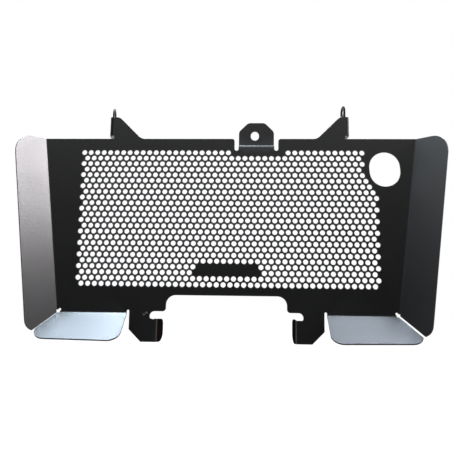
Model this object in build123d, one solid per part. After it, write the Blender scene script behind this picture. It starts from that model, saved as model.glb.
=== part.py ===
from build123d import *
import os
from math import atan2, cos, degrees, hypot, radians, sin, sqrt, tan

# Motorcycle radiator guard: one sheet, cut to a flat blank and folded.
# Sizes are in millimetres and angles in degrees. While the guard is drawn, x runs across it from
# its mirror line, y runs from the front face towards the radiator, and z runs up from the fold of
# the aprons. The finished guard is then moved so that the slot of its tab is at the origin.

# Sheet
sheet = 1.5
bend_radius = 1.5  # on the inside of every fold

# Panel between the folds
panel_height = 168.5
half_width_top = 179.4
half_width_bottom = 158.3

# Honeycomb grille
hole_flats = 9.1
web = 2.5
field_side = 15.0  # from the lower corner of the panel in to the grille
field_drop = 11.0  # from the top edge down to the grille
field_rise = 7.2  # from the recess up to the grille
field_land = 3.1  # least sheet between the grille and another opening
blank_width = 62.0  # field without holes, low in the grille
blank_height = 14.0
blank_rise = 16.7  # from the lower edge of the grille to the middle of the blank field

# Opening for the filler neck
neck_width = 29.0
neck_height = 33.5
neck_inset = 30.1  # from the upper corner of the panel
neck_drop = 30.0  # from the top edge
neck_tilt = 4.6

# Wings, folded forward at the sides
wing_width_left = 33.9
wing_width_right = 35.8
wing_bend = 52.0
wing_top_corner = 18.0
wing_bottom_corner = 10.0
wing_drop = 15.4  # past the corner of the panel

# Aprons, folded forward at the bottom
apron_inner_length = 39.0
apron_outer_length = 37.4
apron_bend = 52.0
apron_corner = 11.0
apron_overhang_left = 13.2  # past the corner of the panel
apron_overhang_right = 15.0

# Mitre between a wing and an apron, with its relief in the corner of the panel
mitre_gap_left = 0.4
mitre_gap_right = 1.5
relief_width = 2.2
relief_reach = 3.3

# Legs with their hooks, and the recess between them
leg_outer = 90.5
leg_width = 34.25
leg_length = 26.3
leg_chamfer = 11.3
leg_corner = 3.2
slot_width = 2.4  # between a leg and its apron
slot_top = 2.9
recess_top = 17.0
recess_corner = 9.0
notch_top = 1.9
notch_height = 6.85
notch_depth = 14.95
notch_upper_corner = 4.5
notch_lower_corner = 1.5
finger_setback = 10.75  # from the inner edge of the leg to the fold of the finger
finger_bend_left = 77.0
finger_bend_right = 82.0
finger_length = 14.7
finger_rise_left = 0.0  # of the upper edge, towards its end
finger_rise_right = 1.8
finger_upper_corner = 4.5
finger_lower_corner = 10.0

# Ears on the top edge, with their flanges folded back
ear_half_width = 116.9
ear_length = 31.55
ear_height = 22.2
ear_corner = 8.0
ear_relief_height = 3.0
ear_relief_width = 4.6
ear_bend_left = 86.0
ear_bend_right = 97.5
lobe_setback = 9.4  # from the end of the fold to the front edge of the lobe
lobe_width = 13.0
lobe_height_left = 36.9  # above the top edge of the panel
lobe_height_right = 39.7
lobe_root_corner = 2.0
flange_chamfer = 9.0
ear_bore = 7.0

# Tab on the top edge, stepped back from the panel
tab_x = 27.05
tab_width = 34.5
tab_step = 9.0  # from the front of the panel to the front of the tab
tab_drop = 5.7  # from the top edge down to the top of the step
tab_height = 19.1
tab_chamfer = 9.1
tab_corner = 5.0
tab_slot_offset = -1.5
tab_slot_height = 5.7
tab_slot_width = 7.9
tab_slot_length = 9.2
tab_relief_width = 3.85
tab_relief_depth = 11.8
tab_relief_corner = 2.5

# Values that follow from the sizes above
bend_outside = bend_radius + sheet
pitch = hole_flats + web
row_step = pitch * sqrt(3) / 2
hole_points = hole_flats * 2 / sqrt(3)
field_half_width = half_width_bottom - field_side
field_bottom = recess_top + field_rise
field_top = panel_height - field_drop
blank_centre = field_bottom + blank_rise
taper = degrees(atan2(half_width_top - half_width_bottom, panel_height))
fold_length = hypot(half_width_top - half_width_bottom, panel_height)
wing_setback = bend_radius * tan(radians(wing_bend / 2))
apron_setback = bend_radius * tan(radians(apron_bend / 2))
wing_fold_top = half_width_top - wing_setback / cos(radians(taper))
wing_fold_slope = tan(radians(taper))
leg_inner = leg_outer - leg_width
leg_bottom = -leg_length
apron_inner = leg_outer + slot_width
notch_end = leg_inner + notch_depth
notch_bottom = notch_top - notch_height
finger_fold = leg_inner + finger_setback
ear_top = panel_height + ear_height
ear_foot = ear_half_width - ear_length
tab_fold = panel_height - tab_drop - bend_outside
tab_left = tab_x - tab_width / 2
tab_right = tab_x + tab_width / 2
tab_relief_left = tab_left - tab_relief_width
tab_relief_right = tab_right + tab_relief_width
tab_relief_bottom = panel_height - tab_relief_depth


def fold_line(origin, along, inside):
    """Place of a fold: x along it, y out to the flap, z to the inside of the bend."""
    return Plane(origin=origin, x_dir=along, z_dir=inside).location


def past_bend(fold, angle):
    """Place where the flat of a flap starts, at the end of its bend."""
    rise = bend_radius * (1 - cos(radians(angle)))
    return fold * Pos(0, bend_radius * sin(radians(angle)), rise) * Rot(angle, 0, 0)


def bend(fold, start, end, angle):
    """The curved strip of sheet along a fold."""
    middle = Pos((start + end) / 2, 0, -sheet / 2) * Rot(90, 0, 0)
    axis = Axis((fold * Pos(0, 0, bend_radius)).position, fold.x_axis.direction)
    return revolve(fold * middle * Rectangle(end - start, sheet), axis, angle)


def flat(place, outline):
    """A flat piece of sheet, with its inside face in the plane of the place."""
    return extrude(place * outline, amount=-sheet)


def polygon(*points):
    """A face with straight sides."""
    return make_face(Polyline(*points, close=True))


def block(left, bottom, right, top):
    """A rectangle given by its sides."""
    return polygon((left, bottom), (right, bottom), (right, top), (left, top))


def rounded(outline, radius, *corners):
    """An outline with the corners nearest the given points rounded."""
    picked = [outline.vertices().sort_by_distance(corner)[0] for corner in corners]
    return fillet(picked, radius)


def both_sides(shape):
    """A shape of the right side together with its mirror image."""
    return shape + mirror(shape, about=Plane.YZ)


def wing_fold():
    """Fold of the right wing, running down from the top edge."""
    down = Vector(-sin(radians(taper)), 0, -cos(radians(taper)))
    return fold_line((wing_fold_top, 0, panel_height), down, (0, -1, 0))


def apron_fold():
    """Fold of the right apron, running in from the corner of the panel."""
    return fold_line((half_width_bottom, 0, apron_setback), (-1, 0, 0), (0, -1, 0))


def mitre_line(place, side, gap):
    """Edge of a flap along the mitre, as x for a given y in the plane of the flap."""
    wing_place = past_bend(wing_fold(), wing_bend)
    apron_place = past_bend(apron_fold(), apron_bend)
    mitre = wing_place.z_axis.direction.cross(apron_place.z_axis.direction)
    corner = Vector(half_width_bottom, 0, 0) - place.position
    along, out = place.x_axis.direction, place.y_axis.direction
    slope = mitre.dot(along) / mitre.dot(out)
    shift = side * gap / 2 * hypot(1, slope)
    return lambda y: corner.dot(along) + (y - corner.dot(out)) * slope + shift


def wing(gap, wing_width):
    """Right wing with its fold."""
    fold = wing_fold()
    place = past_bend(fold, wing_bend)
    width = wing_width - wing_setback
    bottom = fold_length + wing_drop
    outline = block(0, 0, bottom, width)
    outline = rounded(outline, wing_top_corner, (0, width))
    outline = rounded(outline, wing_bottom_corner, (bottom, width))
    edge = mitre_line(place, -1, gap)
    past = 2 * wing_width
    outline -= polygon((edge(-past), -past), (edge(past), past), (bottom + past, past), (bottom + past, -past))
    return bend(fold, 0, fold_length - relief_width, wing_bend) + flat(place, outline)


def apron(gap, overhang):
    """Right apron with its fold."""
    fold = apron_fold()
    place = past_bend(fold, apron_bend)
    inner = half_width_bottom - apron_inner
    slant = (apron_inner_length - apron_outer_length) / inner
    inner_end = (inner, apron_inner_length - apron_setback)
    outer_end = (-overhang, apron_outer_length - apron_setback - slant * overhang)
    outline = polygon((-overhang, 0), (inner, 0), inner_end, outer_end)
    outline = rounded(outline, apron_corner, inner_end, outer_end)
    edge = mitre_line(place, 1, gap)
    past = 2 * apron_inner_length
    outline -= polygon((edge(-past), -past), (edge(past), past), (-inner - past, past), (-inner - past, -past))
    return bend(fold, relief_width, inner, apron_bend) + flat(place, outline)


def ear_fold_x(angle):
    """Place across the guard where the fold of an ear's flange starts."""
    return ear_half_width - bend_outside * tan(radians(angle / 2))


def ear_web(angle):
    """Right ear in the plane of the panel, up to the fold of its flange."""
    fold_x = ear_fold_x(angle)
    shoulder = ear_foot + ear_height
    below = panel_height - ear_height
    outline = polygon(
        (ear_foot - ear_height, below), (ear_foot - ear_height, panel_height), (ear_foot, panel_height),
        (shoulder, ear_top), (fold_x, ear_top), (fold_x, below),
    )
    outline = rounded(outline, ear_corner, (ear_foot, panel_height), (shoulder, ear_top))
    relief_inner = ear_half_width - ear_relief_width
    return outline - block(relief_inner, panel_height, ear_half_width, panel_height + ear_relief_height)


def ear_flange(angle, lobe_height):
    """Flange of the right ear, with the lobe that is bolted to the radiator's side mount."""
    foot = panel_height + ear_relief_height
    fold = fold_line((ear_fold_x(angle), sheet, foot), (0, 0, 1), (0, 1, 0))
    rise = ear_top - foot
    depth = lobe_setback + lobe_width
    centre = lobe_height - ear_relief_height - lobe_width / 2
    bore = Pos(centre, lobe_setback + lobe_width / 2)
    outline = polygon(
        (0, 0), (rise, 0), (rise, lobe_setback), (centre, lobe_setback),
        (centre, depth), (flange_chamfer, depth), (0, depth - flange_chamfer),
    )
    outline = rounded(outline, lobe_root_corner, (rise, lobe_setback))
    outline = outline + bore * Circle(lobe_width / 2) - bore * Circle(ear_bore / 2)
    return bend(fold, 0, rise, angle) + flat(past_bend(fold, angle), outline)


def finger(angle, rise):
    """Finger of the right hook, folded back under its notch."""
    fold = fold_line((finger_fold, sheet, notch_bottom), (0, 0, -1), (0, 1, 0))
    drop = notch_bottom - leg_bottom
    outline = polygon((0, 0), (drop, 0), (drop, finger_length), (-rise, finger_length))
    outline = rounded(outline, finger_upper_corner, (-rise, finger_length))
    outline = rounded(outline, finger_lower_corner, (drop, finger_length))
    return bend(fold, 0, drop, angle) + flat(past_bend(fold, angle), outline)


def leg():
    """Right half of the panel's lower middle: the leg, the notch of its hook and half of the recess."""
    outline = polygon(
        (0, field_bottom), (0, leg_bottom), (leg_outer - leg_chamfer, leg_bottom),
        (leg_outer, leg_bottom + leg_chamfer), (leg_outer, field_bottom),
    )
    recess = block(-leg_inner, leg_bottom, leg_inner, recess_top)
    recess = rounded(recess, recess_corner, (leg_inner, recess_top))
    notch = block(0, notch_bottom, notch_end, notch_top)
    notch = rounded(notch, notch_upper_corner, (notch_end, notch_top))
    notch = rounded(notch, notch_lower_corner, (notch_end, notch_bottom))
    under_notch = block(0, leg_bottom, finger_fold, (notch_bottom + notch_top) / 2)
    outline = outline - recess - notch - under_notch
    return rounded(outline, leg_corner, (leg_inner, notch_top))


def apron_slot():
    """Slot between the right leg and the apron, with a round end."""
    end = slot_top - slot_width / 2
    middle = (leg_outer + apron_inner) / 2
    return block(leg_outer, leg_bottom, apron_inner, end) + Pos(middle, end) * Circle(slot_width / 2)


def corner_relief():
    """Relief slot from the right corner of the panel, where the wing and the apron part."""
    run = block(-relief_reach, -relief_width / 2, relief_reach, relief_width / 2)
    slot = run + Pos(relief_reach, 0) * Circle(relief_width / 2)
    return Pos(half_width_bottom, 0) * Rot(0, 0, 180 - (90 - taper) / 2) * slot


def tab_window():
    """Opening in the top edge from which the tab is folded, with its two relief slots."""
    low = tab_relief_bottom + tab_relief_width / 2
    above = panel_height + sheet
    window = block(tab_left, tab_fold, tab_right, above)
    for left, right in ((tab_relief_left, tab_left), (tab_right, tab_relief_right)):
        window += block(left, low, right, above)
        window += Pos((left + right) / 2, low) * Circle(tab_relief_width / 2)
    return window


def tab():
    """Tab that is stepped back from the panel by two folds, with its slotted hole."""
    fold = fold_line((tab_right, sheet, tab_fold), (-1, 0, 0), (0, 1, 0))
    shelf_place = past_bend(fold, 90)
    shelf = tab_step - bend_outside - bend_radius
    upper = shelf_place * Pos(tab_width, shelf, -sheet) * Rot(0, 180, 0)
    rise = tab_height + tab_drop - bend_radius
    shoulders = [
        (tab_width, rise - tab_chamfer), (tab_width - tab_chamfer, rise),
        (tab_chamfer, rise), (0, rise - tab_chamfer),
    ]
    plate = rounded(polygon((0, 0), (tab_width, 0), *shoulders), tab_corner, *shoulders)
    hole = Pos(tab_width / 2 + tab_slot_offset, rise - tab_height + tab_slot_height)
    plate -= hole * SlotOverall(tab_slot_length, tab_slot_width, rotation=90)
    return (
        bend(fold, 0, tab_width, 90)
        + flat(shelf_place, block(0, 0, tab_width, shelf))
        + bend(upper, 0, tab_width, 90)
        + flat(past_bend(upper, 90), plate)
    )


def neck_opening(grow=0.0):
    """Outline of the opening for the filler neck, or of the clear sheet around it."""
    place = Pos(half_width_top - neck_inset, panel_height - neck_drop)
    return place * SlotOverall(neck_height + 2 * grow, neck_width + 2 * grow, rotation=90 + neck_tilt)


def grille_centres():
    """Centres of the honeycomb's holes, row by row."""
    rows = int((field_top - field_bottom - hole_points) / row_step) + 1
    first = (field_top + field_bottom - (rows - 1) * row_step) / 2
    most = int((2 * field_half_width - hole_flats) / pitch) + 1
    by_neck = neck_opening(field_land + hole_flats / 2).face()
    reach = field_land + hole_points / 2
    for row in range(rows):
        count = most - row % 2
        z = first + row * row_step
        for column in range(count):
            x = (column - (count - 1) / 2) * pitch
            in_blank = abs(x) < blank_width / 2 and abs(z - blank_centre) < blank_height / 2
            below_tab = tab_relief_left - reach < x < tab_relief_right + reach
            by_tab = below_tab and z > tab_relief_bottom - reach
            if not (in_blank or by_tab or by_neck.is_inside((x, z, 0))):
                yield x, z


def panel():
    """Flat of the guard with its ears, legs, openings and honeycomb."""
    fold_bottom = wing_fold_top - (panel_height - apron_setback) * wing_fold_slope
    outline = polygon(
        (-fold_bottom, apron_setback), (fold_bottom, apron_setback),
        (wing_fold_top, panel_height), (-wing_fold_top, panel_height),
    )
    outline = outline - both_sides(corner_relief()) - tab_window()
    tab_corners = ((tab_relief_left, panel_height), (tab_relief_right, panel_height))
    outline = rounded(outline, tab_relief_corner, *tab_corners)
    outline -= block(-leg_outer, 0, leg_outer, recess_top)
    outline = outline + both_sides(leg()) - both_sides(apron_slot())
    outline = outline + ear_web(ear_bend_right) + mirror(ear_web(ear_bend_left), about=Plane.YZ)
    plain = (outline - neck_opening()).face()
    hexagon = RegularPolygon(hole_flats / 2, 6, major_radius=False, rotation=30)
    holes = [(Pos(x, z) * hexagon).face().outer_wire() for x, z in grille_centres()]
    return flat(Plane.XZ.location, Face(plain.outer_wire(), [*plain.inner_wires(), *holes]))


def right_flaps():
    """All that is folded out of the panel on the right side."""
    return [
        wing(mitre_gap_right, wing_width_right),
        apron(mitre_gap_right, apron_overhang_right),
        ear_flange(ear_bend_right, lobe_height_right),
        finger(finger_bend_right, finger_rise_right),
    ]


def left_flaps():
    """All that is folded out of the panel on the left side, drawn on the right and mirrored."""
    drawn = [
        wing(mitre_gap_left, wing_width_left),
        apron(mitre_gap_left, apron_overhang_left),
        ear_flange(ear_bend_left, lobe_height_left),
        finger(finger_bend_left, finger_rise_left),
    ]
    return [mirror(flap, about=Plane.YZ) for flap in drawn]


def guard():
    """The whole folded sheet, with the slot of its tab at the origin."""
    whole = panel() + [*right_flaps(), *left_flaps(), tab()]
    origin = Pos(tab_x + tab_slot_offset, tab_step + sheet, panel_height + tab_slot_height)
    return origin.inverse() * whole


os.makedirs("parts", exist_ok=True)
export_step(guard(), "parts/guard_sheet.step")
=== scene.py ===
from math import ceil, cos, hypot, pi, radians, sin, sqrt, tan

import bmesh
import bpy
from bpy.props import FloatProperty, FloatVectorProperty, IntProperty, PointerProperty
from mathutils import Matrix, Vector


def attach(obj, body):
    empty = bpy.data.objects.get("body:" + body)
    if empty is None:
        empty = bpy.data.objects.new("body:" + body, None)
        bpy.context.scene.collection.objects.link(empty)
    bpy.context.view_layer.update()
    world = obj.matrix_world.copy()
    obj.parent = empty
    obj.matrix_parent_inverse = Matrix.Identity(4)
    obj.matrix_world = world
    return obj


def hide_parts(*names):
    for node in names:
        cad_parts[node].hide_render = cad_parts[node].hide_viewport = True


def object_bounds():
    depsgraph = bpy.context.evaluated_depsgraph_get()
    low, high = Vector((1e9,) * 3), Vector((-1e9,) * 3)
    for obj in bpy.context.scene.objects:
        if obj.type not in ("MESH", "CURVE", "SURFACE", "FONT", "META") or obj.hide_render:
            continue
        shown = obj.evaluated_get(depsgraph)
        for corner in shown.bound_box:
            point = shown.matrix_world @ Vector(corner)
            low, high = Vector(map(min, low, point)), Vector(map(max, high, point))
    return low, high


bl_info = {
    "name": "Radiator guard",
    "version": (1, 0, 0),
    "blender": (4, 5, 0),
    "location": "3D View > Sidebar > Radiator guard",
    "description": "Cuts, folds and coats the sheet of a motorcycle radiator guard and sets its stage",
    "category": "Object",
}

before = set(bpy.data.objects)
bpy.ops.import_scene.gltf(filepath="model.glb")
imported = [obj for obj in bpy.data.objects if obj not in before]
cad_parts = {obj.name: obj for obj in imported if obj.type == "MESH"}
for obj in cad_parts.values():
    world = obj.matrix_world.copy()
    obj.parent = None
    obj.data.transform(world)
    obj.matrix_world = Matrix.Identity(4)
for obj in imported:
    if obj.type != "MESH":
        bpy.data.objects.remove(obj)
cad_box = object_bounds()

# While the guard is drawn, x runs across it from its mirror line, y runs from the front face
# towards the radiator, and z runs up from the fold of the aprons. All lengths are in metres.
MM = 0.001
NEAR = 0.02 * MM
ARC_STEP = radians(11.25)
SHARP = radians(35)
FRONT = Vector((0, -1, 0))
BACK = Vector((0, 1, 0))
SHEET = "guard_sheet_coated"
UPRIGHT = Matrix.Rotation(pi / 2, 4, "X")
MIRROR = Matrix.Scale(-1, 4, (1, 0, 0))


def length(name, description, millimetres):
    """A length, with its default in millimetres."""
    return FloatProperty(
        name=name, description=description, default=millimetres * MM,
        subtype="DISTANCE", unit="LENGTH", precision=5,
    )


def angle(name, description, degrees):
    """An angle, with its default in degrees."""
    return FloatProperty(
        name=name, description=description, default=radians(degrees), subtype="ANGLE", unit="ROTATION",
    )


def count(name, description, number):
    """A whole number."""
    return IntProperty(name=name, description=description, default=number, min=1)


def amount(name, description, number):
    """A plain number without a unit."""
    return FloatProperty(name=name, description=description, default=number)


def colour(name, description, red, green, blue):
    """A linear colour."""
    return FloatVectorProperty(
        name=name, description=description, default=(red, green, blue), size=3, subtype="COLOR",
    )


class SheetSizes(bpy.types.PropertyGroup):
    """Sizes that hold all over the sheet."""

    thickness: length("Thickness", "Thickness of the sheet", 1.5)
    bend_radius: length("Bend radius", "Radius on the inside of every fold", 1.5)
    bend_steps: count("Bend steps", "Facets round each fold", 6)
    edge_break: length("Edge break", "Width of the rounding of cut edges", 0.15)


class PanelSizes(bpy.types.PropertyGroup):
    """Sizes of the flat panel and the opening for the filler neck."""

    height: length("Height", "From the fold of the aprons to the top edge", 168.5)
    half_width_top: length("Half width at the top", "From the mirror line to the wing", 179.4)
    half_width_bottom: length("Half width at the bottom", "From the mirror line to the wing", 158.3)
    recess_top: length("Top of the recess", "Height of the recess between the legs", 17.0)
    recess_corner: length("Recess corner", "Radius in the corners of the recess", 9.0)
    neck_width: length("Neck width", "Width of the neck opening", 29.0)
    neck_height: length("Neck height", "Height of the neck opening", 33.5)
    neck_inset: length("Neck inset", "From the upper corner in to the neck's middle", 30.1)
    neck_drop: length("Neck drop", "From the top edge down to the neck's middle", 30.0)
    neck_tilt: angle("Neck tilt", "Lean of the neck opening towards the middle", 4.6)


class GrilleSizes(bpy.types.PropertyGroup):
    """Sizes of the honeycomb."""

    pitch: length("Pitch", "From hole to hole in a row", 6.4)
    hole_flats: length("Hole", "Width of a hole across its flats", 4.75)
    hole_corner: length("Hole corner", "Radius in the corners of a hole", 1.25)
    lowest_row: length("Lowest row", "Height of the lowest row of holes", 27.09)
    rows: count("Rows", "Rows of holes, an even number", 24)
    columns: count("Columns", "Holes in the longer rows", 45)
    neck_land: length("Land round the neck", "From the neck's edge to the nearest hole's middle", 5.85)
    tab_land: length("Land beside the tab", "From the tab's relief to the nearest hole's middle", 5.0)
    blank_width: length("Blank width", "Width of the field without holes", 62.0)
    blank_height: length("Blank height", "Height of the field without holes", 14.0)
    blank_middle: length("Blank middle", "Height of the field's middle", 40.95)


class FlapSizes(bpy.types.PropertyGroup):
    """Sizes of the wings and aprons that are folded forward."""

    wing_width_left: length("Left wing width", "From the fold to the free edge", 33.9)
    wing_width_right: length("Right wing width", "From the fold to the free edge", 35.8)
    wing_bend: angle("Wing bend", "Angle of the wing's fold", 52)
    wing_top_corner: length("Upper wing corner", "Radius of the upper corner", 18.0)
    wing_bottom_corner: length("Lower wing corner", "Radius of the lower corner", 10.0)
    wing_drop: length("Wing drop", "How far it reaches past the corner", 15.4)
    apron_inner_length: length("Inner apron length", "From the fold to the edge beside the leg", 39.0)
    apron_outer_length: length("Outer apron length", "From the fold to the edge at the corner", 37.4)
    apron_bend: angle("Apron bend", "Angle of the apron's fold", 52)
    apron_corner: length("Apron corner", "Radius of the free corners", 11.0)
    overhang_left: length("Left overhang", "How far it reaches past the corner", 13.2)
    overhang_right: length("Right overhang", "How far it reaches past the corner", 15.0)
    gap_left: length("Left mitre gap", "Between wing and apron", 0.1)
    gap_right: length("Right mitre gap", "Between wing and apron", 1.5)
    relief_width: length("Relief width", "Width of the slot in the corner", 2.2)
    relief_reach: length("Relief reach", "From the corner to the slot's round end", 3.3)


class HookSizes(bpy.types.PropertyGroup):
    """Sizes of the two legs and their hooks."""

    outer: length("Outer edge", "From the mirror line to the outer edge", 90.5)
    width: length("Width", "Width of a leg", 34.25)
    drop: length("Drop", "How far a leg hangs below the apron fold", 26.3)
    chamfer: length("Chamfer", "Slanted outer corner of a leg", 11.3)
    corner: length("Corner", "Radius above the notch", 3.2)
    slot_width: length("Slot width", "Gap between a leg and its apron", 2.4)
    slot_top: length("Slot top", "Height of the round end of the gap", 2.9)
    notch_top: length("Notch top", "Height of its upper edge", 1.9)
    notch_height: length("Notch height", "Height of the notch", 6.85)
    notch_depth: length("Notch depth", "From the leg's inner edge", 14.95)
    notch_upper_corner: length("Upper notch corner", "Radius in the notch", 4.5)
    notch_lower_corner: length("Lower notch corner", "Radius in the notch", 1.5)
    finger_setback: length("Finger setback", "From the leg's inner edge to the finger's fold", 10.75)
    finger_bend_left: angle("Left finger bend", "Angle of its fold", 77)
    finger_bend_right: angle("Right finger bend", "Angle of its fold", 82)
    finger_length: length("Finger length", "From the end of the bend to the free edge", 14.7)
    finger_rise_left: length("Left finger rise", "Rise of its upper edge to its end", 0.0)
    finger_rise_right: length("Right finger rise", "Rise of its upper edge to its end", 1.8)
    finger_upper_corner: length("Upper finger corner", "Radius of the finger", 4.5)
    finger_lower_corner: length("Lower finger corner", "Radius of the finger", 10.0)


class EarSizes(bpy.types.PropertyGroup):
    """Sizes of the two ears and their bored lobes."""

    half_width: length("Half width", "From the mirror line to the outside of the flanges", 116.9)
    base: length("Base", "Length of an ear along the top edge", 31.55)
    height: length("Height", "Height of an ear above the top edge", 22.2)
    corner: length("Corner", "Radius at the foot and shoulder", 8.0)
    relief_height: length("Relief height", "Height of the notch under the flange", 3.0)
    relief_width: length("Relief width", "Width of the notch under the flange", 4.6)
    bend_left: angle("Left bend", "Angle of its fold", 86)
    bend_right: angle("Right bend", "Angle of its fold", 97.5)
    lobe_setback: length("Lobe setback", "From the end of the bend to the lobe", 9.4)
    lobe_width: length("Lobe width", "Width of the lobe, twice its radius", 13.0)
    lobe_height_left: length("Left lobe height", "Above the top edge", 36.9)
    lobe_height_right: length("Right lobe height", "Above the top edge", 39.67)
    lobe_root_corner: length("Lobe root", "Radius where the lobe leaves the flange", 2.0)
    flange_chamfer: length("Flange chamfer", "Slanted lower corner of the flange", 9.0)
    bore: length("Bore", "Diameter of the bore in the lobe", 7.0)


class TabSizes(bpy.types.PropertyGroup):
    """Sizes of the stepped tab on the top edge."""

    middle: length("Middle", "From the mirror line to the tab's middle", 27.05)
    width: length("Width", "Width of the tab", 34.5)
    step: length("Step", "From the panel's front to the tab's front", 9.0)
    drop: length("Drop", "From the top edge down to the top of the step", 5.7)
    height: length("Height", "Above the top edge", 19.1)
    chamfer: length("Chamfer", "Slanted shoulders", 9.1)
    corner: length("Corner", "Radius at the shoulders", 5.0)
    slot_offset: length("Slot offset", "From the tab's middle to the slot's middle", -1.5)
    slot_rise: length("Slot rise", "From the top edge up to the slot's middle", 5.7)
    slot_width: length("Slot width", "Width of the slotted hole", 7.9)
    slot_length: length("Slot length", "Height of the slotted hole", 9.2)
    relief_width: length("Relief width", "Width of the slots beside the tab", 3.85)
    relief_depth: length("Relief depth", "Depth of the slots beside the tab", 11.8)
    relief_corner: length("Relief corner", "Radius at the mouth of the slots", 2.5)


class CoatLook(bpy.types.PropertyGroup):
    """Colours and grain of the powder coat, and the painted shade on what is folded back."""

    base: colour("Coat", "Colour of the coat", 0.006, 0.006, 0.0065)
    dusty: colour("Dust", "Colour where dust lies", 0.012, 0.012, 0.013)
    # Painted shade: the fingers and the ears' flanges and lobes, which are folded back, get this brownish
    # colour in place of the coat's own.
    painted_shade: colour("Painted shade", "Colour on what is folded back", 0.011, 0.007, 0.006)
    scuffed: colour("Scuff", "Colour where the coat is scuffed", 0.38, 0.38, 0.4)
    roughness: amount("Roughness", "Roughness of the coat", 0.345)
    unevenness: amount("Unevenness", "How far the roughness varies", 0.08)
    refraction: amount("Refraction", "Index of refraction of the coat", 1.8)
    gloss: amount("Gloss", "Share of the reflection on most of the sheet", 0.5)
    # Painted shade too: the ears' flanges and the fingers get less gloss, so they show little reflection.
    gloss_above: amount("Gloss above", "Share of the reflection on the ears' flanges", 0.05)
    gloss_below: amount("Gloss below", "Share of the reflection on the fingers", 0.0)
    # Strength of the painted shade on the flanges beyond their fold.
    flange_shade_share: amount("Flange shade", "How dull the flanges are beside the lobes", 0.8)
    grain: length("Grain", "Size of the coat's fine grain", 0.9)
    grain_strength: amount("Grain strength", "Strength of the fine grain", 0.25)
    grain_depth: length("Grain depth", "Depth of the fine grain", 0.12)
    waviness: length("Waviness", "Size of the coat's soft waves", 1.5)
    wave_strength: amount("Wave strength", "Strength of the soft waves", 0.115)
    wave_depth: length("Wave depth", "Depth of the soft waves", 0.4)
    drift: length("Drift", "Size of the patches of dust", 60.0)
    scuff_place: FloatVectorProperty(
        name="Scuff place", description="Middle of the scuff, across and up", size=2,
        default=(-75.4 * MM, -0.3 * MM), subtype="XYZ", unit="LENGTH",
    )
    scuff_reach: length("Scuff reach", "Half length of the scuff", 2.7)
    scuff_swing: length("Scuff swing", "How far the scuff curls up and down", 1.2)
    scuff_wave: length("Scuff wave", "Length of one curl of the scuff", 4.6)
    scuff_width: length("Scuff width", "Half width of the scuff", 0.55)
    speck: length("Speck", "Size of the scuff's specks", 1.0)


class StageLook(bpy.types.PropertyGroup):
    """Camera and floor."""

    camera_place: FloatVectorProperty(
        name="Camera place", description="Where the camera stands", size=3,
        default=(-2.91 * MM, -545.46 * MM, -176.52 * MM), subtype="TRANSLATION", unit="LENGTH",
    )
    camera_turn: FloatVectorProperty(
        name="Camera turn", description="How the camera is turned", size=3,
        default=(radians(99.022), radians(-0.835), radians(2.429)), subtype="EULER",
    )
    camera_view: angle("Camera view", "Angle of view of the square picture", 43.126)
    floor_drop: length("Floor drop", "From the lowest point of the guard to the floor", 200.0)
    floor_size: length("Floor size", "Side of the floor", 60000.0)
    pale: colour("Pale floor", "Colour of the floor behind the guard", 0.62, 0.62, 0.62)
    dim: colour("Dim floor", "Colour of the floor in front of the guard", 0.04, 0.04, 0.04)
    glow: amount("Glow", "White that the floor adds where it is seen", 0.6)


class GuardSettings(bpy.types.PropertyGroup):
    """All settings of the guard."""

    sheet: PointerProperty(type=SheetSizes)
    panel: PointerProperty(type=PanelSizes)
    grille: PointerProperty(type=GrilleSizes)
    flaps: PointerProperty(type=FlapSizes)
    hooks: PointerProperty(type=HookSizes)
    ears: PointerProperty(type=EarSizes)
    tab: PointerProperty(type=TabSizes)
    coat: PointerProperty(type=CoatLook)
    stage: PointerProperty(type=StageLook)


def settings():
    """The settings kept on the scene."""
    return bpy.context.scene.radiator_guard


# Drawing

def pick(piece, kind, wanted):
    """Selects the verts, edges or faces of a piece in edit mode that pass a test."""
    bpy.ops.mesh.select_mode(type={"verts": "VERT", "edges": "EDGE", "faces": "FACE"}[kind])
    bpy.ops.mesh.select_all(action="DESELECT")
    mesh = bmesh.from_edit_mesh(piece.data)
    chosen = [part for part in getattr(mesh, kind) if wanted(part)]
    if not chosen:
        raise RuntimeError(f"{piece.name}: nothing to select among its {kind}")
    for part in chosen:
        part.select_set(True)
    bmesh.update_edit_mesh(piece.data)


def middle(edge):
    """Middle of an edge."""
    return (edge.verts[0].co + edge.verts[1].co) / 2


def at(corner):
    """Test of a vertex: whether it lies at a corner of a flat drawing."""
    place = Vector((corner[0], corner[1], 0))
    return lambda vertex: (vertex.co - place).length < NEAR


def round_corner(piece, before, corner, after):
    """Rounds one corner of a flat wire by a vertex bevel."""
    arriving = Vector(corner[:2]) - Vector(before[:2])
    leaving = Vector(after[:2]) - Vector(corner[:2])
    turn = arriving.angle(leaving)
    pick(piece, "verts", at(corner))
    bpy.ops.mesh.bevel(
        offset_type="OFFSET", offset=corner[2] * tan(turn / 2), affect="VERTICES",
        segments=max(3, ceil(turn / ARC_STEP)),
    )


def draw_outline(name, corners):
    """A closed flat wire through corners given as (x, y, radius)."""
    bpy.ops.mesh.primitive_plane_add(size=MM, enter_editmode=True)
    piece = bpy.context.object
    piece.name = name
    bpy.ops.mesh.select_mode(type="VERT")
    bpy.ops.mesh.select_all(action="SELECT")
    bpy.ops.mesh.merge(type="CENTER")
    bpy.ops.transform.translate(value=(corners[0][0], corners[0][1], 0))
    for here, there in zip(corners, corners[1:]):
        step = (there[0] - here[0], there[1] - here[1], 0)
        bpy.ops.mesh.extrude_region_move(TRANSFORM_OT_translate={"value": step})
    at_first, at_last = at(corners[0]), at(corners[-1])
    pick(piece, "verts", lambda vertex: at_first(vertex) or at_last(vertex))
    bpy.ops.mesh.edge_face_add()
    for before, corner, after in zip(corners[-1:] + corners, corners, corners[1:] + corners[:1]):
        if corner[2] > 0:
            round_corner(piece, before, corner, after)
    bpy.ops.mesh.select_all(action="SELECT")
    bpy.ops.mesh.remove_doubles(threshold=NEAR)
    close_mesh()
    return piece


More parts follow.
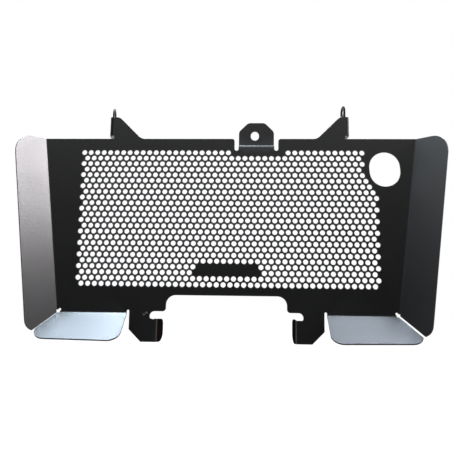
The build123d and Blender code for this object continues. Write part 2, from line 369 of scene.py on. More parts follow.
def draw_slot(name, width, height):
    """A closed wire with straight sides and round ends, about the origin."""
    x, y, radius = width / 2, height / 2, min(width, height) / 2
    return draw_outline(name, [(-x, -y, radius), (x, -y, radius), (x, y, radius), (-x, y, radius)])


def choose(piece, *others):
    """Selects pieces, with the first as the active one."""
    bpy.ops.object.select_all(action="DESELECT")
    for part in (piece, *others):
        part.select_set(True)
    bpy.context.view_layer.objects.active = piece


def open_mesh(piece):
    """Opens one piece in edit mode with all of its mesh selected."""
    choose(piece)
    bpy.ops.object.mode_set(mode="EDIT")
    bpy.ops.mesh.select_all(action="SELECT")


def close_mesh():
    """Goes back to object mode."""
    bpy.ops.object.mode_set(mode="OBJECT")


def place(piece, matrix):
    """Moves a drawing to its place and keeps the place in its mesh."""
    choose(piece)
    piece.matrix_world = matrix
    bpy.ops.object.transform_apply(location=True, rotation=True, scale=True)
    return piece


def join(piece, *others):
    """Joins drawings into one."""
    choose(piece, *others)
    bpy.ops.object.join()
    return piece


def fill(piece):
    """Fills a closed wire, less the wires inside it."""
    open_mesh(piece)
    bpy.ops.mesh.fill(use_beauty=True)
    close_mesh()
    return piece


# Folding

def fold_place(origin, along, toward):
    """Place of a fold on the front of the sheet: x along it, y out to the flap, z to its inside."""
    along = Vector(along).normalized()
    axes = Matrix((along, toward.cross(along), toward)).transposed()
    return Matrix.Translation(origin) @ axes.to_4x4()


def past_bend(fold, radius, turn):
    """Place where the flat of a flap starts, past its bend."""
    shift = Matrix.Translation((0, radius * sin(turn), radius * (1 - cos(turn))))
    return fold @ shift @ Matrix.Rotation(turn, 4, "X")


def pick_fold(piece, fold, reach):
    """Selects the free edges of a piece in edit mode that lie along a fold."""
    flat = fold.inverted()

    def along_fold(edge):
        ends = [flat @ vertex.co for vertex in edge.verts]
        return edge.is_boundary and all(
            hypot(end.y, end.z) < NEAR and -NEAR < end.x < reach + NEAR for end in ends
        )

    pick(piece, "edges", along_fold)


def spin_fold(fold, radius, turn):
    """Spins the selected edges round the axis of a bend."""
    handed = -1 if fold.determinant() > 0 else 1
    bpy.ops.mesh.spin(
        steps=settings().sheet.bend_steps, angle=turn * handed,
        center=fold @ Vector((0, 0, radius)), axis=fold.to_3x3() @ Vector((1, 0, 0)),
    )


def fold_edge(piece, fold, reach, radius, turn):
    """Bends the free edge of the panel along a fold."""
    open_mesh(piece)
    pick_fold(piece, fold, reach)
    spin_fold(fold, radius, turn)
    close_mesh()


def inner_radius():
    """Bend radius on the front of a flap that is folded forward."""
    return settings().sheet.bend_radius


def outer_radius():
    """Bend radius on the front of a flap that is folded back."""
    return settings().sheet.bend_radius + settings().sheet.thickness


# Places on the panel

def taper():
    """Lean of the wings' folds."""
    panel = settings().panel
    narrowing = panel.half_width_top - panel.half_width_bottom
    return Vector((panel.height, narrowing)).angle_signed(Vector((1, 0)))


def setback(turn):
    """From the corner of a fold's two inner faces to the start of its bend."""
    return inner_radius() * tan(turn / 2)


def wing_fold():
    """Fold of the right wing, running down from the top edge."""
    panel, lean = settings().panel, taper()
    top = panel.half_width_top - setback(settings().flaps.wing_bend) / cos(lean)
    return fold_place((top, 0, panel.height), (-sin(lean), 0, -cos(lean)), FRONT)


def apron_fold():
    """Fold of the right apron, running in from the corner of the panel."""
    panel, bend = settings().panel, settings().flaps.apron_bend
    return fold_place((panel.half_width_bottom, 0, setback(bend)), (-1, 0, 0), FRONT)


def relief_corners():
    """Corners of the relief slot at the right corner of the panel, from the apron to the wing."""
    flaps, lean = settings().flaps, taper()
    corner = Vector((settings().panel.half_width_bottom, 0))
    half = (pi / 2 + lean) / 2
    inward = Vector((-cos(pi / 2 - half + lean), sin(pi / 2 - half + lean)))
    aside = Vector((inward.y, -inward.x)) * flaps.relief_width / 2
    end = corner + inward * (flaps.relief_reach + flaps.relief_width / 2)
    sides = (
        (Vector((-1, 0)), Vector((0, 1)), setback(flaps.apron_bend)),
        (Vector((sin(lean), cos(lean))), Vector((-cos(lean), sin(lean))), setback(flaps.wing_bend)),
    )
    starts = []
    for along, inside, back in sides:
        run = (flaps.relief_width / 2 + back * cos(half)) / sin(half)
        starts.append(corner + along * run + inside * back)
    radius = flaps.relief_width / 2
    return [(*starts[0], 0), (*(end - aside), radius), (*(end + aside), radius), (*starts[1], 0)]


def ear_fold_x(bend):
    """Place across the guard where the bend of an ear's flange starts."""
    return settings().ears.half_width - outer_radius() * tan(bend / 2)


def side_corners(ear_bend):
    """Outline of the right half of the panel, from the recess round to the foot of the ear."""
    panel, flaps, hooks, ears = settings().panel, settings().flaps, settings().hooks, settings().ears
    inner = hooks.outer - hooks.width
    notch_end = inner + hooks.notch_depth
    notch_bottom = hooks.notch_top - hooks.notch_height
    finger_x = inner + hooks.finger_setback
    apron_inner = hooks.outer + hooks.slot_width
    ear_foot = ears.half_width - ears.base
    ear_top = panel.height + ears.height
    relief_x = ears.half_width - ears.relief_width
    relief_top = panel.height + ears.relief_height
    return [
        (inner, panel.recess_top, panel.recess_corner),
        (inner, hooks.notch_top, hooks.corner),
        (notch_end, hooks.notch_top, hooks.notch_upper_corner),
        (notch_end, notch_bottom, hooks.notch_lower_corner),
        (finger_x, notch_bottom, 0),
        (finger_x, -hooks.drop, 0),
        (hooks.outer - hooks.chamfer, -hooks.drop, 0),
        (hooks.outer, hooks.chamfer - hooks.drop, 0),
        (hooks.outer, hooks.slot_top, hooks.slot_width / 2),
        (apron_inner, hooks.slot_top, hooks.slot_width / 2),
        (apron_inner, setback(flaps.apron_bend), 0),
        *relief_corners(),
        (wing_fold().translation.x, panel.height, 0),
        (relief_x, panel.height, 0),
        (relief_x, relief_top, 0),
        (ear_fold_x(ear_bend), relief_top, 0),
        (ear_fold_x(ear_bend), ear_top, 0),
        (ear_foot + ears.height, ear_top, ears.corner),
        (ear_foot, panel.height, ears.corner),
    ]


def tab_fold_height():
    """Height where the tab's first bend starts."""
    return settings().panel.height - settings().tab.drop - outer_radius()


def tab_corners():
    """Outline of the panel round the tab, from right to left."""
    tab, top = settings().tab, settings().panel.height
    right, left = tab.middle + tab.width / 2, tab.middle - tab.width / 2
    bottom, end = top - tab.relief_depth, tab.relief_width / 2
    return [
        (right + tab.relief_width, top, tab.relief_corner),
        (right + tab.relief_width, bottom, end),
        (right, bottom, end),
        (right, tab_fold_height(), 0),
        (left, tab_fold_height(), 0),
        (left, bottom, end),
        (left - tab.relief_width, bottom, end),
        (left - tab.relief_width, top, tab.relief_corner),
    ]


# Grille

def row_step():
    """Height from one row of holes to the next."""
    return settings().grille.pitch * sqrt(3) / 2


def first_column(row):
    """Place of the first hole of a row, counted from the lowest."""
    grille = settings().grille
    return -(grille.columns - 1 - (row + 1) % 2) / 2 * grille.pitch


def cell_of(point):
    """Middle and row of the honeycomb cell that a flat point lies in."""
    grille = settings().grille
    nearest = round((point.y - grille.lowest_row) / row_step())
    cells = []
    for row in (nearest - 1, nearest, nearest + 1):
        start = first_column(row)
        x = start + round((point.x - start) / grille.pitch) * grille.pitch
        cells.append((Vector((x, grille.lowest_row + row * row_step(), 0)), row))
    return min(cells, key=lambda cell: (cell[0] - point).length)


def neck_place():
    """Middle of the neck opening and its lean, in the drawing of the panel."""
    panel = settings().panel
    shift = (panel.half_width_top - panel.neck_inset, panel.height - panel.neck_drop, 0)
    return Matrix.Translation(shift) @ Matrix.Rotation(panel.neck_tilt, 4, "Z")


def is_bare(centre, row):
    """Whether the honeycomb leaves out the hole of a cell."""
    grille, panel, tab = settings().grille, settings().panel, settings().tab
    start = first_column(row)
    beyond = abs(centre.x) > abs(start) + NEAR
    from_blank = centre.y - grille.blank_middle
    in_blank = abs(centre.x) < grille.blank_width / 2 and abs(from_blank) < grille.blank_height / 2
    below_tab = row == grille.rows - 1
    by_tab = abs(centre.x - tab.middle) < tab.width / 2 + tab.relief_width + grille.tab_land
    to_neck = neck_place().inverted() @ centre
    straight = (panel.neck_height - panel.neck_width) / 2
    over = max(0, abs(to_neck.y) - straight)
    by_neck = hypot(to_neck.x, over) < panel.neck_width / 2 + grille.neck_land
    return beyond or in_blank or (below_tab and by_tab) or by_neck


def honeycomb():
    """The grille as a flat drawing: one cell, copied in rows and columns, less the bare cells."""
    grille = settings().grille
    to_corner = 2 / sqrt(3)
    bpy.ops.mesh.primitive_circle_add(
        vertices=6, radius=grille.hole_flats / 2 * to_corner, fill_type="NOTHING", enter_editmode=True,
    )
    piece = bpy.context.object
    piece.name = "guard_grille"
    bpy.ops.mesh.select_mode(type="VERT")
    bpy.ops.mesh.select_all(action="SELECT")
    bpy.ops.mesh.bevel(
        offset_type="OFFSET", offset=grille.hole_corner * tan(pi / 6), segments=1, affect="VERTICES",
    )
    bpy.ops.mesh.primitive_circle_add(vertices=6, radius=grille.pitch / 2 * to_corner, fill_type="NOTHING")
    bpy.ops.mesh.select_all(action="SELECT")
    bpy.ops.mesh.bridge_edge_loops()
    bpy.ops.mesh.select_all(action="SELECT")
    bpy.ops.transform.translate(value=(first_column(0), grille.lowest_row, 0))
    bpy.ops.mesh.duplicate_move(TRANSFORM_OT_translate={"value": (-grille.pitch / 2, row_step(), 0)})
    close_mesh()
    copies = (
        ("columns", grille.columns, (grille.pitch, 0, 0)),
        ("rows", grille.rows // 2, (0, 2 * row_step(), 0)),
    )
    for name, number, step in copies:
        array = piece.modifiers.new(name, "ARRAY")
        array.use_relative_offset = False
        array.use_constant_offset = True
        array.constant_offset_displace = step
        array.count = number
        bpy.ops.object.modifier_apply(modifier=name)
    open_mesh(piece)
    bpy.ops.mesh.remove_doubles(threshold=NEAR)
    pick(piece, "faces", lambda face: is_bare(*cell_of(face.calc_center_median())))
    bpy.ops.mesh.delete(type="FACE")
    close_mesh()
    return piece


def cell_border(edge):
    """Whether an edge of the flat panel is free and lies on the border of a honeycomb cell."""
    if not edge.is_boundary:
        return False
    centre = cell_of(edge.link_faces[0].calc_center_median())[0]
    return (middle(edge) - centre).length > 0.45 * settings().grille.pitch


def round_blank(edge):
    """Whether an edge lies on the border of the blank field in the grille."""
    grille = settings().grille
    point = middle(edge)
    inside = abs(point.x) < grille.blank_width / 2 + grille.pitch
    return cell_border(edge) and inside and abs(point.y - grille.blank_middle) < grille.blank_height


# Finish

# Ranges over which the painted shade sets in on the fingers and the ears' flanges, or the coat is scuffed,
# in the frame of the finished guard.
FINGER_HEIGHTS = (-176 * MM, -172 * MM)
FINGER_DEPTHS = (-9.3 * MM, -8.5 * MM)
LOBE_DEPTHS = (0.6 * MM, 1.4 * MM)
FRONT_DEPTHS = (-10 * MM, -9 * MM)
FLANGE_FADE = 0.6 * MM
EDGE_FADE = 1 * MM

# Ranges of the noise over which dust and specks set in.
DUST_DRIFT = (0.42, 0.72)
DUST_GRAIN = (0.45, 0.7)
SPECKS = (0.3, 0.55)

# Ranges over which the floor and the room turn white, and how bright the room is low and high up.
FLOOR_DEPTHS = (-0.1, 0.4)
ROOM_DEPTHS = (-0.15, 0.45)
ROOM_HEIGHTS = (0.1, 0.56)
ROOM_LEVELS = (0.02, 0.64)


def link(tree, source, target):
    """Links two sockets of a node tree."""
    tree.links.new(source, target)


def math_node(tree, operation, first, second=None, third=None, clamp=False):
    """A math node on up to three values, each a socket or a number."""
    node = tree.nodes.new("ShaderNodeMath")
    node.operation = operation
    node.use_clamp = clamp
    for socket, value in zip(node.inputs, (first, second, third)):
        if value is None:
            continue
        if isinstance(value, (int, float)):
            socket.default_value = value
        else:
            link(tree, value, socket)
    return node.outputs[0]


def range_node(tree, value, low, high, to_low=0.0, to_high=1.0):
    """A smooth map from one range to another."""
    node = tree.nodes.new("ShaderNodeMapRange")
    node.interpolation_type = "SMOOTHSTEP"
    for name, number in (("From Min", low), ("From Max", high), ("To Min", to_low), ("To Max", to_high)):
        node.inputs[name].default_value = number
    link(tree, value, node.inputs["Value"])
    return node.outputs["Result"]


def noise_node(tree, where, size, detail=2.0, roughness=0.5):
    """Noise whose blobs are about a given size."""
    node = tree.nodes.new("ShaderNodeTexNoise")
    node.inputs["Scale"].default_value = 1 / size
    node.inputs["Detail"].default_value = detail
    node.inputs["Roughness"].default_value = roughness
    link(tree, where, node.inputs["Vector"])
    return node.outputs["Fac"]


def bump_node(tree, height, strength, depth):
    """A bump node that takes its height from a socket."""
    node = tree.nodes.new("ShaderNodeBump")
    node.inputs["Strength"].default_value = strength
    node.inputs["Distance"].default_value = depth
    link(tree, height, node.inputs["Height"])
    return node


def mix_colour(tree, share, first, second):
    """A mix of two colours."""
    node = tree.nodes.new("ShaderNodeMix")
    node.data_type = "RGBA"
    link(tree, share, node.inputs["Factor"])
    for name, value in (("A", first), ("B", second)):
        socket = next(s for s in node.inputs if s.name == name and s.type == "RGBA")
        if hasattr(value, "is_output"):
            link(tree, value, socket)
        else:
            socket.default_value = (*value, 1)
    return next(s for s in node.outputs if s.type == "RGBA")


def split_place(tree, where):
    """Sockets of the x, y and z of a place."""
    node = tree.nodes.new("ShaderNodeSeparateXYZ")
    link(tree, where, node.inputs[0])
    return node.outputs


def new_material(name):
    """A material, its node tree and its shader."""
    material = bpy.data.materials.new(name)
    material.use_nodes = True
    return material, material.node_tree, material.node_tree.nodes["Principled BSDF"]


def guard_origin():
    """Middle of the tab's slot on its back face, which the finished guard has at its origin."""
    panel, tab, sheet = settings().panel, settings().tab, settings().sheet
    return Vector((tab.middle + tab.slot_offset, tab.step + sheet.thickness, panel.height + tab.slot_rise))


def painted_shade_shares(tree, spot):
    """Where shade is painted: the share of the fingers, and that of the ears' flanges and lobes."""
    x, y, z = spot
    origin = guard_origin()
    low = range_node(tree, z, *FINGER_HEIGHTS, 1.0, 0.0)
    fingers = math_node(tree, "MULTIPLY", low, range_node(tree, y, *FINGER_DEPTHS))
    fold = ear_fold_x(settings().ears.bend_right)
    from_middle = math_node(tree, "ABSOLUTE", math_node(tree, "ADD", x, origin.x))
    past_fold = range_node(tree, from_middle, fold, fold + FLANGE_FADE, 0.0, settings().coat.flange_shade_share)
    shaded = math_node(tree, "MAXIMUM", past_fold, range_node(tree, y, *LOBE_DEPTHS))
    edge = settings().panel.height - origin.z
    flanges = math_node(tree, "MULTIPLY", shaded, range_node(tree, z, edge, edge + EDGE_FADE))
    return fingers, flanges


def scuff_share(tree, where, spot):
    """Where the coat is scuffed: a curled stroke on the front of the left leg, broken into specks."""
    x, y, z = spot
    look, origin = settings().coat, guard_origin()
    across = math_node(tree, "SUBTRACT", x, look.scuff_place[0] - origin.x)
    upward = math_node(tree, "SUBTRACT", z, look.scuff_place[1] - origin.z)
    curl = math_node(tree, "SINE", math_node(tree, "MULTIPLY", across, 2 * pi / look.scuff_wave))
    aside = math_node(tree, "SUBTRACT", upward, math_node(tree, "MULTIPLY", curl, look.scuff_swing))
    aside = math_node(tree, "ABSOLUTE", aside)
    along = math_node(tree, "ABSOLUTE", across)
    share = range_node(tree, aside, 0.3 * look.scuff_width, 1.4 * look.scuff_width, 1.0, 0.0)
    limits = (
        range_node(tree, along, 0.7 * look.scuff_reach, look.scuff_reach, 1.0, 0.0),
        range_node(tree, y, *FRONT_DEPTHS, 1.0, 0.0),
        range_node(tree, noise_node(tree, where, look.speck), *SPECKS),
    )
    for limit in limits:
        share = math_node(tree, "MULTIPLY", share, limit)
    return share


def powder_coat():
    """Satin black powder coat with grain, dust and one pale scuff, with painted shade on what is folded
    back: a brownish colour and less gloss.
    """
    look = settings().coat
    material, tree, shader = new_material("black_coat")
    where = tree.nodes.new("ShaderNodeTexCoord").outputs["Object"]
    spot = split_place(tree, where)
    grain = noise_node(tree, where, look.grain, detail=3.0, roughness=0.6)
    waves = noise_node(tree, where, look.waviness, detail=1.0)
    drift = noise_node(tree, where, look.drift, detail=3.0)

    dusty_patch = range_node(tree, drift, *DUST_DRIFT)
    dust = math_node(tree, "MULTIPLY", dusty_patch, range_node(tree, grain, *DUST_GRAIN))
    fingers, flanges = painted_shade_shares(tree, spot)
    coat = mix_colour(tree, dust, look.base, look.dusty)
    # Painted shade: a brownish colour on the folded-back fingers and flanges.
    coat = mix_colour(tree, math_node(tree, "ADD", fingers, flanges, clamp=True), coat, look.painted_shade)
    coat = mix_colour(tree, scuff_share(tree, where, spot), coat, look.scuffed)
    link(tree, coat, shader.inputs["Base Color"])

    shader.inputs["IOR"].default_value = look.refraction
    # Painted shade: less gloss on the fingers and the ears' flanges, so they hardly reflect.
    gloss = math_node(tree, "MULTIPLY_ADD", fingers, look.gloss_below - look.gloss, look.gloss)
    gloss = math_node(tree, "MULTIPLY_ADD", flanges, look.gloss_above - look.gloss, gloss)
    link(tree, gloss, shader.inputs["Specular IOR Level"])
    least = look.roughness - look.unevenness / 2
    rough = math_node(tree, "MULTIPLY_ADD", drift, look.unevenness, least)
    link(tree, rough, shader.inputs["Roughness"])

    soft = bump_node(tree, waves, look.wave_strength, look.wave_depth)
    fine = bump_node(tree, grain, look.grain_strength, look.grain_depth)
    link(tree, soft.outputs["Normal"], fine.inputs["Normal"])
    link(tree, fine.outputs["Normal"], shader.inputs["Normal"])
    return material


def pale_floor():
    """Floor that shows white behind the guard, to the camera and in reflections, with a soft shadow."""
    stage = settings().stage
    material, tree, shader = new_material("pale_floor")
    spot = split_place(tree, tree.nodes.new("ShaderNodeTexCoord").outputs["Object"])
    behind = range_node(tree, spot["Y"], *FLOOR_DEPTHS)
    link(tree, mix_colour(tree, behind, stage.dim, stage.pale), shader.inputs["Base Color"])
    shader.inputs["Roughness"].default_value = 0.9
    shader.inputs["Specular IOR Level"].default_value = 0.0
    shader.inputs["Emission Color"].default_value = (1, 1, 1, 1)
    rays = tree.nodes.new("ShaderNodeLightPath").outputs
    seen = math_node(tree, "MAXIMUM", rays["Is Camera Ray"], rays["Is Glossy Ray"])
    seen = math_node(tree, "MAXIMUM", seen, rays["Is Transmission Ray"])
    glow = math_node(tree, "MULTIPLY", math_node(tree, "MULTIPLY", seen, behind), stage.glow)
    link(tree, glow, shader.inputs["Emission Strength"])
    return material


def surroundings():
    """White room that is dim in front of the guard, where its panel is mirrored."""
    world = bpy.data.worlds.new("studio")
    bpy.context.scene.world = world
    world.use_nodes = True
    tree = world.node_tree
    background = tree.nodes["Background"]
    spot = split_place(tree, tree.nodes.new("ShaderNodeTexCoord").outputs["Generated"])
    behind = range_node(tree, spot["Y"], *ROOM_DEPTHS)
    height = range_node(tree, spot["Z"], *ROOM_HEIGHTS, *ROOM_LEVELS)
    link(tree, math_node(tree, "ADD", behind, height, clamp=True), background.inputs["Strength"])
    background.inputs["Color"].default_value = (1, 1, 1, 1)


# Name, place, target, width, height, power in watts and tint of each softbox.
LAMPS = (
    ("right_softbox", (1.03, -0.15, 0.632), (-0.21, -0.02, -0.01), 0.3, 0.45, 12.8, (1.0, 0.96, 0.99)),
    ("left_softbox", (-1.02, -0.09, 0.73), (0.165, -0.02, -0.01), 0.3, 0.3, 0.25, (0.6, 0.8, 1.0)),
    ("left_top_softbox", (-0.31, -0.05, 1.06), (-0.31, -0.04, 0.0), 0.34, 0.1, 25.0, (0.71, 0.85, 1.0)),
    ("right_top_softbox", (0.34, -0.03, 1.06), (0.34, -0.02, 0.0), 0.24, 0.1, 6.5, (0.77, 0.86, 1.0)),
)


def lamp(name, spot, target, width, height, power, tint):
    """A rectangular softbox that faces a target, with its power in watts."""
    bpy.ops.object.light_add(type="AREA", location=spot)
    piece = bpy.context.object
    piece.name = name
    piece.data.shape = "RECTANGLE"
    piece.data.size = width
    piece.data.size_y = height
    piece.data.energy = power
    piece.data.color = tint
    piece.rotation_euler = (Vector(target) - Vector(spot)).to_track_quat("-Z", "Y").to_euler()


# Operators

class GUARD_OT_cut_panel(bpy.types.Operator):
    """Draws the panel with its outline, neck opening and honeycomb, and stands it upright"""

    bl_idname = "guard.cut_panel"
    bl_label = "Cut the panel"

    def execute(self, context):
        sizes = settings()
        right = side_corners(sizes.ears.bend_right)
        left = [(-x, y, radius) for x, y, radius in reversed(side_corners(sizes.ears.bend_left))]
        outline = draw_outline("guard_outline", right + tab_corners() + left)
        neck = draw_slot("guard_neck", sizes.panel.neck_width, sizes.panel.neck_height)
        place(neck, neck_place())
        panel = join(honeycomb(), outline, neck)
        panel.name = SHEET
        open_mesh(panel)
        pick(panel, "edges", round_blank)
        bpy.ops.mesh.fill(use_beauty=True)
        pick(panel, "edges", lambda edge: edge.is_wire or cell_border(edge))
        bpy.ops.mesh.fill(use_beauty=True)
        close_mesh()
        place(panel, UPRIGHT)
        return {"FINISHED"}


class GUARD_OT_fold_flaps(bpy.types.Operator):
    """Folds the wings and aprons forward, with the mitre between them"""

    bl_idname = "guard.fold_flaps"
    bl_label = "Fold the wings and aprons"

    def mitre(self, piece, flat, gap, keep):
        """Cuts a flap along the mitre, half a gap from the line where the flaps would meet."""
        flaps = settings().flaps
        wing = past_bend(wing_fold(), inner_radius(), flaps.wing_bend)
        apron = past_bend(apron_fold(), inner_radius(), flaps.apron_bend)
        line = wing.col[2].to_3d().cross(apron.col[2].to_3d()).normalized()
        normal = line.cross(flat.col[2].to_3d()).normalized()
        if normal.dot(flat.col[0].to_3d()) * keep > 0:
            normal.negate()
        corner = Vector((settings().panel.half_width_bottom, 0, 0))
        back = flat.inverted()
        open_mesh(piece)
        bpy.ops.mesh.bisect(
            plane_co=back @ (corner - normal * gap / 2), plane_no=back.to_3x3() @ normal, clear_outer=True,
        )
        close_mesh()

    def wing(self, gap, wing_width):
        """Flat of the right wing and its fold."""
        flaps = settings().flaps
        fold = wing_fold()
        flat = past_bend(fold, inner_radius(), flaps.wing_bend)
        panel = settings().panel
        fold_length = hypot(panel.half_width_top - panel.half_width_bottom, panel.height)
        end = relief_corners()[-1]
        fold_end = (fold.inverted() @ Vector((end[0], 0, end[1]))).x
        width = wing_width - setback(flaps.wing_bend)
        bottom = fold_length + flaps.wing_drop
        corners = [
            (0, 0, 0), (fold_end, 0, 0), (bottom, 0, 0),
            (bottom, width, flaps.wing_bottom_corner), (0, width, flaps.wing_top_corner),
        ]
        piece = fill(draw_outline("guard_wing", corners))
        self.mitre(piece, flat, gap, -1)
        return piece, fold, flat, fold_end, flaps.wing_bend

    def apron(self, gap, overhang):
        """Flat of the right apron and its fold."""
        flaps, hooks = settings().flaps, settings().hooks
        fold = apron_fold()
        flat = past_bend(fold, inner_radius(), flaps.apron_bend)
        inner = settings().panel.half_width_bottom - hooks.outer - hooks.slot_width
        slant = (flaps.apron_inner_length - flaps.apron_outer_length) / inner
        start = relief_corners()[0]
        fold_start = (fold.inverted() @ Vector((start[0], 0, start[1]))).x
        back = setback(flaps.apron_bend)
        outer_length = flaps.apron_outer_length - back - slant * overhang
        corners = [
            (-overhang, 0, 0), (fold_start, 0, 0), (inner, 0, 0),
            (inner, flaps.apron_inner_length - back, flaps.apron_corner),
            (-overhang, outer_length, flaps.apron_corner),
        ]
        piece = fill(draw_outline("guard_apron", corners))
        self.mitre(piece, flat, gap, 1)
        return piece, fold, flat, inner, flaps.apron_bend

    def execute(self, context):
        panel = bpy.data.objects[SHEET]
        flaps = settings().flaps
        right, left = Matrix.Identity(4), MIRROR
        cuts = (
            (right, self.wing(flaps.gap_right, flaps.wing_width_right)),
            (right, self.apron(flaps.gap_right, flaps.overhang_right)),
            (left, self.wing(flaps.gap_left, flaps.wing_width_left)),
            (left, self.apron(flaps.gap_left, flaps.overhang_left)),
        )
        for side, (piece, fold, flat, reach, turn) in cuts:
            place(piece, side @ flat)
            fold_edge(panel, side @ fold, reach, inner_radius(), turn)
            join(panel, piece)
        return {"FINISHED"}


class GUARD_OT_fold_hooks(bpy.types.Operator):
    """Folds the fingers of the two hooks back"""

    bl_idname = "guard.fold_hooks"
    bl_label = "Fold the hooks"

    def execute(self, context):
        panel = bpy.data.objects[SHEET]
        hooks = settings().hooks
        notch_bottom = hooks.notch_top - hooks.notch_height
        drop = notch_bottom + hooks.drop
        x = hooks.outer - hooks.width + hooks.finger_setback
        fold = fold_place((x, 0, notch_bottom), (0, 0, -1), BACK)
        sides = (
            (Matrix.Identity(4), hooks.finger_bend_right, hooks.finger_rise_right),
            (MIRROR, hooks.finger_bend_left, hooks.finger_rise_left),
        )
        for side, turn, rise in sides:
            corners = [
                (0, 0, 0), (drop, 0, 0),
                (drop, hooks.finger_length, hooks.finger_lower_corner),
                (-rise, hooks.finger_length, hooks.finger_upper_corner),
            ]
            finger = fill(draw_outline("guard_finger", corners))
            place(finger, side @ past_bend(fold, outer_radius(), turn))
            fold_edge(panel, side @ fold, drop, outer_radius(), turn)
            join(panel, finger)
        return {"FINISHED"}


class GUARD_OT_fold_ears(bpy.types.Operator):
    """Folds the flanges of the two ears back, each with its bored lobe"""

    bl_idname = "guard.fold_ears"
    bl_label = "Fold the ears"

    def flange(self, rise, lobe_height):
        """Flat of the right ear's flange with its bore."""
        ears = settings().ears
        half = ears.lobe_width / 2
        top = lobe_height - ears.relief_height
        depth = ears.lobe_setback + ears.lobe_width
        corners = [
            (0, 0, 0), (rise, 0, 0), (rise, ears.lobe_setback, ears.lobe_root_corner),
            (top, ears.lobe_setback, half), (top, depth, half),
            (ears.flange_chamfer, depth, 0), (0, depth - ears.flange_chamfer, 0),
        ]
        bore = draw_slot("guard_ear_bore", ears.bore, ears.bore)
        place(bore, Matrix.Translation((top - half, ears.lobe_setback + half, 0)))
        return fill(join(draw_outline("guard_flange", corners), bore))

    def execute(self, context):
        panel = bpy.data.objects[SHEET]
        ears = settings().ears
        rise = ears.height - ears.relief_height
        foot = settings().panel.height + ears.relief_height
        sides = (
            (Matrix.Identity(4), ears.bend_right, ears.lobe_height_right),
            (MIRROR, ears.bend_left, ears.lobe_height_left),
        )
        for side, turn, lobe_height in sides:
            fold = fold_place((ear_fold_x(turn), 0, foot), (0, 0, 1), BACK)
            flange = self.flange(rise, lobe_height)
            place(flange, side @ past_bend(fold, outer_radius(), turn))
            fold_edge(panel, side @ fold, rise, outer_radius(), turn)
            join(panel, flange)
        return {"FINISHED"}


class GUARD_OT_step_tab(bpy.types.Operator):
    """Steps the tab back by two folds and gives it its slotted hole"""

    bl_idname = "guard.step_tab"
    bl_label = "Step the tab"

    def execute(self, context):
        panel = bpy.data.objects[SHEET]
        tab = settings().tab
        shelf = tab.step - outer_radius() - inner_radius()
        first = fold_place((tab.middle + tab.width / 2, 0, tab_fold_height()), (-1, 0, 0), BACK)
        shelf_end = past_bend(first, outer_radius(), pi / 2) @ Matrix.Translation((tab.width, shelf, 0))
        second = shelf_end @ Matrix.Rotation(pi, 4, "Y")
        rise = tab.height + tab.drop - inner_radius()
        corners = [
            (0, 0, 0), (tab.width, 0, 0),
            (tab.width, rise - tab.chamfer, tab.corner), (tab.width - tab.chamfer, rise, tab.corner),
            (tab.chamfer, rise, tab.corner), (0, rise - tab.chamfer, tab.corner),
        ]
        slot = draw_slot("guard_tab_slot", tab.slot_width, tab.slot_length)
        slot_height = rise - tab.height + tab.slot_rise
        place(slot, Matrix.Translation((tab.width / 2 + tab.slot_offset, slot_height, 0)))
        plate = fill(join(draw_outline("guard_tab", corners), slot))
        place(plate, past_bend(second, inner_radius(), pi / 2))
        open_mesh(panel)
        pick_fold(panel, first, tab.width)
        spin_fold(first, outer_radius(), pi / 2)
        bpy.ops.mesh.extrude_region_move(TRANSFORM_OT_translate={"value": (0, shelf, 0)})
        spin_fold(second, inner_radius(), pi / 2)
        close_mesh()
        join(panel, plate)
        return {"FINISHED"}


class GUARD_OT_coat_sheet(bpy.types.Operator):
    """Gives the folded sheet its thickness, edges, coat and place"""

    bl_idname = "guard.coat_sheet"
    bl_label = "Thicken and coat the sheet"

    def modify(self, piece, kind, **values):
        """Adds a modifier with its values and applies it."""
        modifier = piece.modifiers.new(kind.lower(), kind)
        for name, value in values.items():
            setattr(modifier, name, value)
        bpy.ops.object.modifier_apply(modifier=modifier.name)

    def execute(self, context):
        sheet = settings().sheet
        guard = bpy.data.objects[SHEET]
        open_mesh(guard)
        bpy.ops.mesh.remove_doubles(threshold=NEAR)
        bpy.ops.mesh.normals_make_consistent(inside=False)
        mesh = bmesh.from_edit_mesh(guard.data)
        widest = max(mesh.faces, key=lambda face: abs(face.normal.y) * face.calc_area())
        if widest.normal.y > 0:
            bpy.ops.mesh.flip_normals()
        bpy.ops.transform.translate(value=-guard_origin())
        close_mesh()
        self.modify(guard, "SOLIDIFY", thickness=sheet.thickness, offset=-1.0, use_even_offset=True)
        self.modify(
            guard, "BEVEL", width=sheet.edge_break, segments=1, limit_method="ANGLE",
            angle_limit=SHARP, use_clamp_overlap=False,
        )
        bpy.ops.object.shade_smooth_by_angle(angle=SHARP)
        guard.data.materials.clear()
        guard.data.materials.append(powder_coat())
        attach(guard, "root")
        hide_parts("guard_sheet")
        return {"FINISHED"}


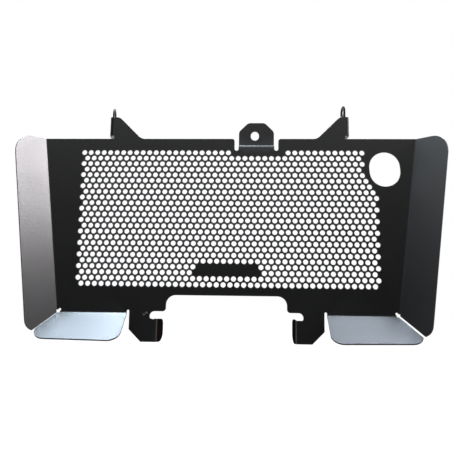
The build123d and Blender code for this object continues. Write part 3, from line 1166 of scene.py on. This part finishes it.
class GUARD_OT_set_stage(bpy.types.Operator):
    """Sets the floor, the lamps, the surroundings and the camera"""

    bl_idname = "guard.set_stage"
    bl_label = "Set the stage"

    def execute(self, context):
        stage = settings().stage
        low = cad_box[0][2] - stage.floor_drop
        bpy.ops.mesh.primitive_plane_add(size=stage.floor_size, location=(0, 0, low))
        floor = context.object
        floor.name = "floor"
        floor.data.materials.append(pale_floor())
        surroundings()
        for values in LAMPS:
            lamp(*values)
        bpy.ops.object.camera_add(location=stage.camera_place, rotation=stage.camera_turn)
        camera = context.object
        camera.name = "photo_camera"
        camera.data.angle = stage.camera_view
        context.scene.camera = camera
        context.scene.view_settings.view_transform = "Standard"
        return {"FINISHED"}


STEPS = (
    GUARD_OT_cut_panel, GUARD_OT_fold_flaps, GUARD_OT_fold_hooks, GUARD_OT_fold_ears,
    GUARD_OT_step_tab, GUARD_OT_coat_sheet, GUARD_OT_set_stage,
)


class GUARD_PT_sidebar(bpy.types.Panel):
    """Lists the steps that make the guard"""

    bl_idname = "GUARD_PT_sidebar"
    bl_label = "Radiator guard"
    bl_space_type = "VIEW_3D"
    bl_region_type = "UI"
    bl_category = "Radiator guard"

    def draw(self, context):
        for step in STEPS:
            self.layout.operator(step.bl_idname)


CLASSES = (
    SheetSizes, PanelSizes, GrilleSizes, FlapSizes, HookSizes, EarSizes, TabSizes, CoatLook, StageLook,
    GuardSettings, *STEPS, GUARD_PT_sidebar,
)


def register():
    """Registers the classes and puts the settings on the scene."""
    for item in CLASSES:
        bpy.utils.register_class(item)
    bpy.types.Scene.radiator_guard = PointerProperty(type=GuardSettings)


def unregister():
    """Takes the settings and the classes away again."""
    del bpy.types.Scene.radiator_guard
    for item in reversed(CLASSES):
        bpy.utils.unregister_class(item)


def main():
    """Makes the guard and its stage."""
    register()
    bpy.ops.guard.cut_panel()
    bpy.ops.guard.fold_flaps()
    bpy.ops.guard.fold_hooks()
    bpy.ops.guard.fold_ears()
    bpy.ops.guard.step_tab()
    bpy.ops.guard.coat_sheet()
    bpy.ops.guard.set_stage()


if __name__ == "__main__":
    main()
